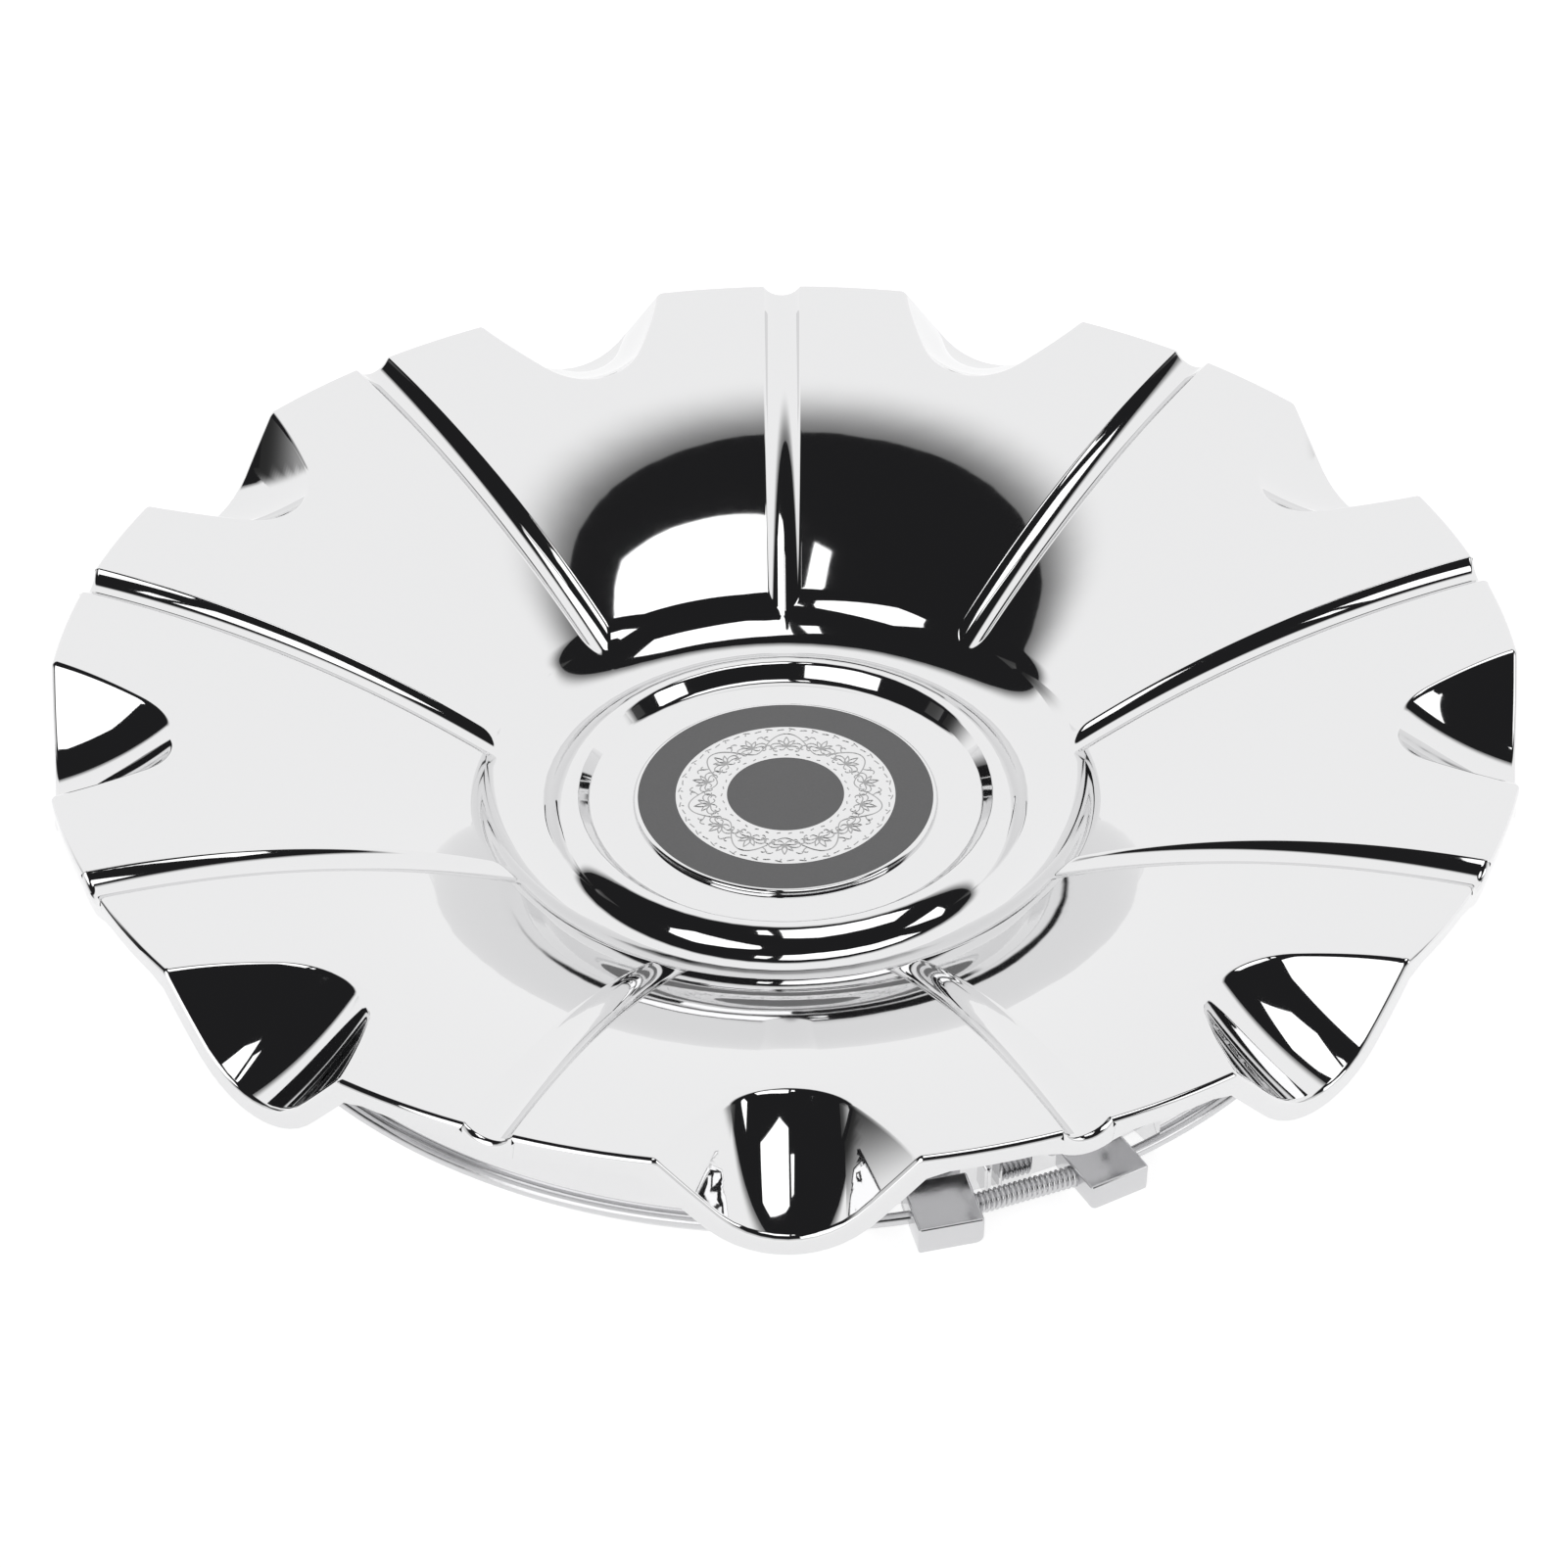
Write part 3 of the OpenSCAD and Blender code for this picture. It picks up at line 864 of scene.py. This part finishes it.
def emblem_metal(material):
    """The plate with its bevelled edge and its engraved ring, as one closed mesh."""
    top = FLOOR_Z + EMBLEM_T
    sunk = top - PAINT_DEPTH
    turns = np.linspace(0.0, 360.0, EMBLEM_STEPS, endpoint=False)
    a = np.radians(turns + EMBLEM_TURN)
    radii = np.linspace(DISC_R, BAND_R, RING_STEPS)
    cuts = engraving(turns, radii)
    c, s = np.cos(a), np.sin(a)

    def level(r, z):
        return np.stack([r * c, r * s, np.full_like(c, z)], -1)

    rows = [level(DISC_R, sunk)]
    rows += [np.stack([r * c, r * s, top - cut], -1) for r, cut in zip(radii, cuts)]
    rows += [level(BAND_R, sunk), level(FIELD_R, sunk), level(FIELD_R, top)]
    rows += [level(EMBLEM_R - BEVEL * (1 - math.sin(t)), top - BEVEL * (1 - math.cos(t)))
             for t in np.linspace(0.0, math.pi / 2, 9)]
    rows.append(level(EMBLEM_R, FLOOR_Z))
    points = np.concatenate(rows + [np.array([[0.0, 0.0, sunk], [0.0, 0.0, FLOOR_Z]])]) * MM
    n = EMBLEM_STEPS
    faces = []
    for k in range(len(rows) - 1):
        for i in range(n):
            j = (i + 1) % n
            faces.append([k * n + i, (k + 1) * n + i, (k + 1) * n + j, k * n + j])
    last = (len(rows) - 1) * n
    centre, foot = len(points) - 2, len(points) - 1
    for i in range(n):
        j = (i + 1) % n
        faces.append([centre, i, j])
        faces.append([foot, last + j, last + i])
    mesh = bpy.data.meshes.new("emblem_metal")
    mesh.from_pydata(points.tolist(), [], faces)
    return placed("emblem_metal", mesh, material, 40.0)


def emblem_paint(name, inner, outer, material):
    """One painted field of the emblem: a flat ring of paint, or a disc where the inner radius is zero."""
    low = FLOOR_Z + EMBLEM_T - PAINT_DEPTH
    high = FLOOR_Z + EMBLEM_T - PAINT_SINK
    profile = [(inner, low), (outer, low), (outer, high - PAINT_SINK), (outer - PAINT_SINK, high)]
    if inner > 0:
        profile += [(inner + PAINT_SINK, high), (inner, high - PAINT_SINK)]
    else:
        profile.append((0.0, high))
    work = bmesh.new()
    ring = [work.verts.new((r * MM, 0.0, z * MM)) for r, z in profile]
    edges = [work.edges.new((ring[k], ring[(k + 1) % len(ring)])) for k in range(len(ring) - (inner == 0))]
    bmesh.ops.spin(work, geom=ring + edges, cent=(0, 0, 0), axis=(0, 0, 1), angle=2 * math.pi, steps=180,
                   use_merge=True, use_duplicate=False)
    bmesh.ops.remove_doubles(work, verts=work.verts, dist=1e-7)
    bmesh.ops.recalc_face_normals(work, faces=work.faces)
    mesh = bpy.data.meshes.new(name)
    work.to_mesh(mesh)
    work.free()
    return placed(name, mesh, material, 30.0)


# The wire ring, its lugs and the stud between them

LUG_EDGE = 0.45
THREAD_PITCH = 0.86
THREAD_DEPTH = 0.42
THREAD_STEPS = 10


def ring_wire(material):
    """The wire ring, with its ends inside the lugs."""
    open_half = LUG_HALF + math.degrees(math.asin((LUG_W / 2 - WIRE_IN) / RING_R))
    turns = np.radians(ADJUSTER_AT + np.linspace(open_half, 360 - open_half, 321))
    around = np.radians(np.linspace(0, 360, 20, endpoint=False))
    points = []
    for a in turns:
        for b in around:
            r = RING_R + WIRE_D / 2 * math.cos(b)
            z = RING_H + WIRE_D / 2 * math.sin(b)
            points.append((r * math.cos(a) * MM, r * math.sin(a) * MM, z * MM))
    mesh = bpy.data.meshes.new("ring_wire")
    mesh.from_pydata(points, [], tube_faces(len(turns), len(around)))
    return placed("ring_wire", faced_out(mesh), material, 40.0)


def lug(name, side, material):
    """One lug: a cast block with soft edges, rounded below on the stud's side."""
    w, t, bend = LUG_W / 2, LUG_T, LUG_ROUND
    outline = [(-w, 0.0), (-w, t), (w, t)]
    outline += [(w - bend + bend * math.cos(math.radians(q)), bend + bend * math.sin(math.radians(q)))
                for q in np.linspace(0, -90, 7)]
    work = bmesh.new()
    rings = []
    for reach in (RING_R - LUG_IN, RING_R - LUG_IN + LUG_L):
        rings.append([work.verts.new((reach, -side * y, z + RING_H - t / 2)) for y, z in outline])
    work.faces.new(rings[0])
    work.faces.new(rings[1][::-1])
    n = len(outline)
    for k in range(n):
        m = (k + 1) % n
        work.faces.new([rings[0][k], rings[0][m], rings[1][m], rings[1][k]])
    bmesh.ops.recalc_face_normals(work, faces=work.faces)
    sharp = [e for e in work.edges if e.is_manifold and e.calc_face_angle() > math.radians(40)]
    bmesh.ops.bevel(work, geom=sharp, offset=LUG_EDGE, segments=4, profile=0.5, affect="EDGES")
    bmesh.ops.recalc_face_normals(work, faces=work.faces)
    bmesh.ops.scale(work, vec=(MM, MM, MM), verts=work.verts)
    turn = math.radians(ADJUSTER_AT + side * LUG_HALF)
    bmesh.ops.rotate(work, verts=work.verts, cent=(0, 0, 0), matrix=Matrix.Rotation(turn, 3, "Z"))
    mesh = bpy.data.meshes.new(name)
    work.to_mesh(mesh)
    work.free()
    return placed(name, mesh, material, 30.0)


def stud(material):
    """The stud, with its thread as one winding ridge with rounded crests."""
    length = LUG_GAP + 2 * STUD_IN
    steps = int(length / THREAD_PITCH * THREAD_STEPS)
    around = np.linspace(0, 2 * math.pi, 28, endpoint=False)
    points = []
    for y in np.linspace(-length / 2, length / 2, steps + 1):
        for a in around:
            phase = (y / THREAD_PITCH - a / (2 * math.pi)) % 1.0
            crest = abs(math.sin(math.pi * phase)) ** 0.8
            r = STUD_D / 2 - THREAD_DEPTH * (1.0 - crest)
            points.append(((STUD_LINE + r * math.cos(a)) * MM, y * MM, (RING_H + r * math.sin(a)) * MM))
    mesh = bpy.data.meshes.new("stud_thread")
    mesh.from_pydata(points, [], tube_faces(steps + 1, len(around)))
    mesh.transform(Matrix.Rotation(math.radians(ADJUSTER_AT), 4, "Z"))
    return placed("stud_thread", faced_out(mesh), material, 60.0)


# The stage, in metres: a table, a sweep behind and above, side walls, soft boxes and a low screen

SWEEP_FAR = 1.7
SWEEP_NEAR = 0.38
SWEEP_SIDE = 2.6
SWEEP_HIGH = 1.2
SWEEP_BEND = 0.5
SWEEP_SKEW = 0.13
SWEEP_FADE = (0.32, 0.62)
SWEEP_DIM = 0.16
SWEEP_GLOW = 1.06
FLOOR_HALF = 40.0
FLOOR_RISE = (0.5, 2.5)
FLOOR_GLOW = 0.8
FLOOR_TONE = (0.45, 0.45, 0.45, 1.0)
ROOM_TONE = (0.016, 0.016, 0.017, 1.0)
SCREEN_AT = 3.0
SCREEN_LOW = 0.5
SCREEN_HIGH = 1.6
LAMP_AT = 1.7
LAMP_HIGH = 1.2
LAMP_GLOW = 1.6

# Corners of the two boxes overhead, to the right and away
BOX_TOP = [(-0.03, 0.07), (-0.02, -0.4), (0.2, -0.46), (0.7, -0.24), (0.6, 0.13), (0.4, 0.18), (0.05, 0.108)]
BOX_STAND = [(-0.13, 0.0), (-0.08, 0.02), (-0.07, -0.24), (-0.15, -0.24)]

# Corners of the two boxes at the front, as the cap sees them: degrees from overhead, to the right and away
BOX_LEFT = [(-41, -24), (-29, -22), (-10, -40), (-8, -70), (-34, -74), (-57, -68), (-59, -58)]
BOX_RIGHT = [(47, -7), (76, -26), (55, -43), (43, -39)]


def bare_nodes(owner, kind):
    """The emptied nodes of a material or the world, their links, and a new output of that kind."""
    owner.use_nodes = True
    nodes, links = owner.node_tree.nodes, owner.node_tree.links
    nodes.clear()
    return nodes, links, nodes.new(kind)


def glowing_material(name, strength):
    """A material that only glows, with its nodes, its links and its glow."""
    material = bpy.data.materials.new(name)
    nodes, links, out = bare_nodes(material, "ShaderNodeOutputMaterial")
    glow = nodes.new("ShaderNodeEmission")
    glow.inputs["Strength"].default_value = strength
    links.new(glow.outputs["Emission"], out.inputs["Surface"])
    return material, nodes, links, glow


def fading_material(name, places, strengths, skew=0.0, axis="Y"):
    """A glow that goes from one strength to another between two places on an axis, skewed by x."""
    material, nodes, links, glow = glowing_material(name, strengths[1])
    coords = nodes.new("ShaderNodeTexCoord")
    split = nodes.new("ShaderNodeSeparateXYZ")
    straight = nodes.new("ShaderNodeMath")
    straight.operation = "MULTIPLY_ADD"
    straight.inputs[1].default_value = skew
    fade = nodes.new("ShaderNodeMapRange")
    fade.interpolation_type = "SMOOTHERSTEP"
    fade.inputs["From Min"].default_value = places[0]
    fade.inputs["From Max"].default_value = places[1]
    fade.inputs["To Min"].default_value = strengths[0]
    fade.inputs["To Max"].default_value = strengths[1]
    links.new(coords.outputs["Object"], split.inputs["Vector"])
    links.new(split.outputs["X"], straight.inputs[0])
    links.new(split.outputs[axis], straight.inputs[2])
    links.new(straight.outputs["Value"], fade.inputs["Value"])
    links.new(fade.outputs["Result"], glow.inputs["Strength"])
    return material


def stage_mesh(name, corners, faces, material):
    """A piece of the stage."""
    mesh = bpy.data.meshes.new(name)
    mesh.from_pydata(corners, [], faces)
    mesh.materials.append(material)
    piece = bpy.data.objects.new(name, mesh)
    bpy.context.scene.collection.objects.link(piece)
    return piece


def glowing_sheet(name, corners, faces, material):
    """A sheet that reflections see, and that the camera doesn't."""
    sheet = stage_mesh(name, corners, faces, material)
    sheet.visible_camera = False
    sheet.visible_shadow = False


def make_world():
    """White for the camera, and a dim room for all else."""
    world = bpy.data.worlds.new("room")
    bpy.context.scene.world = world
    nodes, links, out = bare_nodes(world, "ShaderNodeOutputWorld")
    path = nodes.new("ShaderNodeLightPath")
    mix = nodes.new("ShaderNodeMixShader")
    room = nodes.new("ShaderNodeBackground")
    room.inputs["Color"].default_value = ROOM_TONE
    white = nodes.new("ShaderNodeBackground")
    white.inputs["Color"].default_value = (1.0, 1.0, 1.0, 1.0)
    links.new(path.outputs["Is Camera Ray"], mix.inputs["Fac"])
    links.new(room.outputs["Background"], mix.inputs[1])
    links.new(white.outputs["Background"], mix.inputs[2])
    links.new(mix.outputs["Shader"], out.inputs["Surface"])


def floor_material():
    """White paper that takes a shadow, and that glows in view and in reflections, fully far from the cap."""
    material = bpy.data.materials.new("floor")
    nodes, links, out = bare_nodes(material, "ShaderNodeOutputMaterial")
    add = nodes.new("ShaderNodeAddShader")
    paper = nodes.new("ShaderNodeBsdfDiffuse")
    paper.inputs["Color"].default_value = FLOOR_TONE
    glow = nodes.new("ShaderNodeEmission")
    path = nodes.new("ShaderNodeLightPath")
    coords = nodes.new("ShaderNodeTexCoord")
    reach = nodes.new("ShaderNodeVectorMath")
    reach.operation = "LENGTH"
    rise = nodes.new("ShaderNodeMapRange")
    rise.inputs["From Min"].default_value = FLOOR_RISE[0]
    rise.inputs["From Max"].default_value = FLOOR_RISE[1]
    rise.inputs["To Min"].default_value = FLOOR_GLOW
    rise.inputs["To Max"].default_value = 1.0
    seen = nodes.new("ShaderNodeMath")
    seen.operation = "MULTIPLY"
    level = nodes.new("ShaderNodeMath")
    level.operation = "MULTIPLY_ADD"
    level.inputs[1].default_value = FLOOR_GLOW
    links.new(coords.outputs["Object"], reach.inputs[0])
    links.new(reach.outputs["Value"], rise.inputs["Value"])
    links.new(path.outputs["Is Camera Ray"], seen.inputs[0])
    links.new(rise.outputs["Result"], seen.inputs[1])
    links.new(path.outputs["Is Glossy Ray"], level.inputs[0])
    links.new(seen.outputs["Value"], level.inputs[2])
    links.new(level.outputs["Value"], glow.inputs["Strength"])
    links.new(paper.outputs["BSDF"], add.inputs[0])
    links.new(glow.outputs["Emission"], add.inputs[1])
    links.new(add.outputs["Shader"], out.inputs["Surface"])
    return material


def make_floor():
    """The white table, which keeps a soft shadow under the cap."""
    half = FLOOR_HALF
    corners = [(-half, -half, 0), (half, -half, 0), (half, half, 0), (-half, half, 0)]
    stage_mesh("floor", corners, [[0, 1, 2, 3]], floor_material())


def back_sweep():
    """The sweep that rises behind the cap and comes forward over it, dimming towards its front edge."""
    path = [(SWEEP_FAR, 0.0)]
    path += [(SWEEP_FAR - SWEEP_BEND + SWEEP_BEND * math.cos(math.radians(t)),
              SWEEP_HIGH - SWEEP_BEND + SWEEP_BEND * math.sin(math.radians(t))) for t in range(0, 100, 10)]
    path.append((SWEEP_NEAR, SWEEP_HIGH))
    lean = SWEEP_SKEW * SWEEP_SIDE
    points = []
    for y, z in path:
        points += [(-SWEEP_SIDE, y + lean, z), (SWEEP_SIDE, y - lean, z)]
    faces = [[2 * k, 2 * k + 1, 2 * k + 3, 2 * k + 2] for k in range(len(path) - 1)]
    glow = fading_material("sweep", SWEEP_FADE, (SWEEP_DIM, SWEEP_GLOW), skew=SWEEP_SKEW)
    glowing_sheet("sweep", points, faces, glow)


def side_wall(name, x, near, places, low):
    """A white wall beside the cap that dims towards its front edge."""
    far = SWEEP_FAR - SWEEP_SKEW * x
    corners = [(x, near, 0.0), (x, far, 0.0), (x, far, SWEEP_HIGH), (x, near, SWEEP_HIGH)]
    glowing_sheet(name, corners, [[0, 1, 2, 3]], fading_material(name, places, (low, SWEEP_GLOW)))


def low_screen():
    """A low pale screen round the front and the sides, dimming upwards, for the views from behind."""
    turns = np.radians(np.linspace(-185.0, 5.0, 39))
    points = [(SCREEN_AT * np.cos(t), SCREEN_AT * np.sin(t), z) for t in turns for z in (0.0, SCREEN_HIGH)]
    faces = [[2 * k, 2 * k + 2, 2 * k + 3, 2 * k + 1] for k in range(len(turns) - 1)]
    glow = fading_material("low_screen", (SCREEN_LOW, SCREEN_HIGH), (FLOOR_GLOW, 0.06), axis="Z")
    glowing_sheet("low_screen", points, faces, glow)


def overhead_box(name, outline):
    """A soft box that lies level over the cap."""
    corners = [(x, y, LAMP_HIGH) for x, y in outline]
    glowing_sheet(name, corners, [list(range(len(corners)))], glowing_material(name, LAMP_GLOW)[0])


def facing_box(name, directions):
    """A soft box whose corners the cap sees in those directions."""
    corners = []
    for right, away in directions + [tuple(np.mean(directions, axis=0))]:
        tilt = math.radians(math.hypot(right, away))
        way = math.atan2(away, right)
        corners.append((LAMP_AT * math.sin(tilt) * math.cos(way), LAMP_AT * math.sin(tilt) * math.sin(way),
                        LAMP_AT * math.cos(tilt)))
    n = len(directions)
    faces = [[k, (k + 1) % n, n] for k in range(n)]
    glowing_sheet(name, corners, faces, glowing_material(name, LAMP_GLOW)[0])


def make_stage():
    """The whole stage."""
    make_world()
    make_floor()
    back_sweep()
    low_screen()
    side_wall("wall_left", -SWEEP_SIDE, 0.35, (0.35, 1.5), 0.03)
    side_wall("wall_right", SWEEP_SIDE, 0.04, (0.0, 0.4), 0.3)
    overhead_box("box_top", BOX_TOP)
    overhead_box("box_stand", BOX_STAND)
    facing_box("box_left", BOX_LEFT)
    facing_box("box_right", BOX_RIGHT)


# The pieces, with the node that each replaces and the slot of its finish

chrome = chrome_material("chrome_plating")
steel = metal_material("spring_wire", 0.66, (0.14, 0.24), 900.0)
paint = paint_material()
zinc = metal_material("lug_zinc", 0.66, (0.1, 0.22), 700.0)
dark_steel = metal_material("stud_steel", 0.62, (0.16, 0.28), 1200.0)
pieces = [
    (cap_face(chrome), "cap_shell", "chrome_plating"),
    (cap_skirt(chrome), "cap_shell", "chrome_plating"),
    (emblem_metal(engraved_material()), "emblem_plate", "chrome_plating"),
    (emblem_paint("emblem_field", BAND_R, FIELD_R, paint), "emblem_plate", "emblem_paint"),
    (emblem_paint("emblem_disc", 0.0, DISC_R, paint), "emblem_plate", "emblem_paint"),
    (ring_wire(steel), "retaining_ring", "spring_wire"),
    (lug("lug_left", -1, zinc), "ring_lug_left", "lug_zinc"),
    (lug("lug_right", 1, zinc), "ring_lug_right", "lug_zinc"),
    (stud(dark_steel), "adjusting_stud", "stud_steel"),
]
for piece, node, slot in pieces:
    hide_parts(node)
    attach(piece, "root")
make_camera()
make_stage()
bpy.context.scene.view_settings.view_transform = "Standard"
